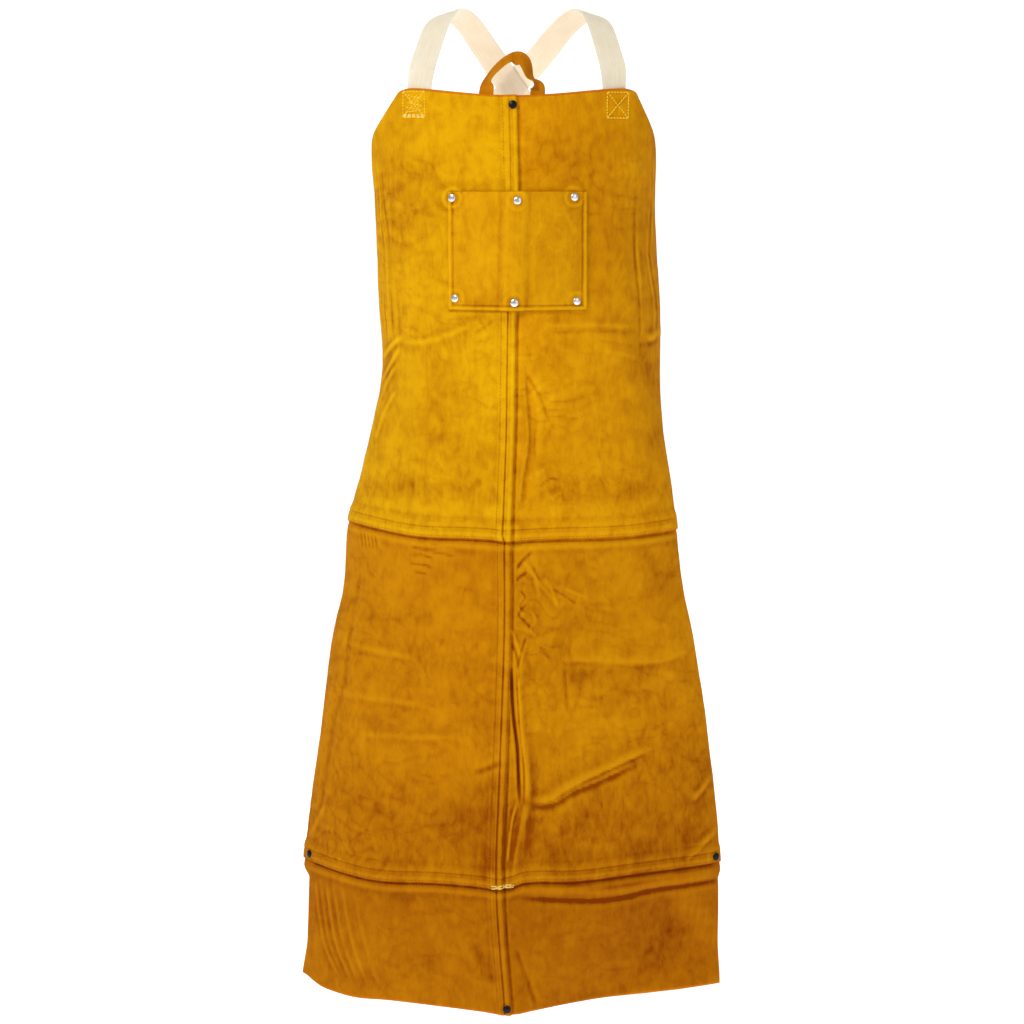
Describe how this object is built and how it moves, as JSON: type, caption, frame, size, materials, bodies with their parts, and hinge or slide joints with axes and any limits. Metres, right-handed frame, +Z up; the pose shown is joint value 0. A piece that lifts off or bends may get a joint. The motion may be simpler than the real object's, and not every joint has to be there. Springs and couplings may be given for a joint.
{
  "type": "leather welding apron",
  "caption": "Worn bib apron of lapped split-leather panels with a riveted chest pocket, a hanging loop at the neck edge and webbing shoulder straps that cross behind.",
  "frame": {"origin": "midway between the places where the two straps rest on the wearer's shoulders", "axes": "+Z up, the wearer faces -Y, +X to the right as seen from the front"},
  "size_m": [0.5138, 0.2471, 1.181],
  "materials": {
    "bib_hide": "golden split suede",
    "skirt_hide": "golden-brown split suede",
    "hem_hide": "brown-gold split suede",
    "webbing": "woven cream cotton",
    "nickel": "polished nickel plate"
  },
  "bodies": {
    "root": {"bib_panel_left": "bib_hide", "bib_panel_right": "bib_hide", "skirt_panel_left": "skirt_hide", "skirt_panel_right": "skirt_hide", "hem_panel_left": "hem_hide", "hem_panel_right": "hem_hide", "chest_pocket": "bib_hide", "hanging_loop": "bib_hide", "shoulder_strap_left": "webbing", "shoulder_strap_right": "webbing", "rivet_neck": "nickel", "rivet_pocket_upper_left": "nickel", "rivet_pocket_upper_middle": "nickel", "rivet_pocket_upper_right": "nickel", "rivet_pocket_lower_left": "nickel", "rivet_pocket_lower_middle": "nickel", "rivet_pocket_lower_right": "nickel", "rivet_seam_left": "nickel", "rivet_seam_right": "nickel", "rivet_hem": "nickel"}
  },
  "joints": []
}
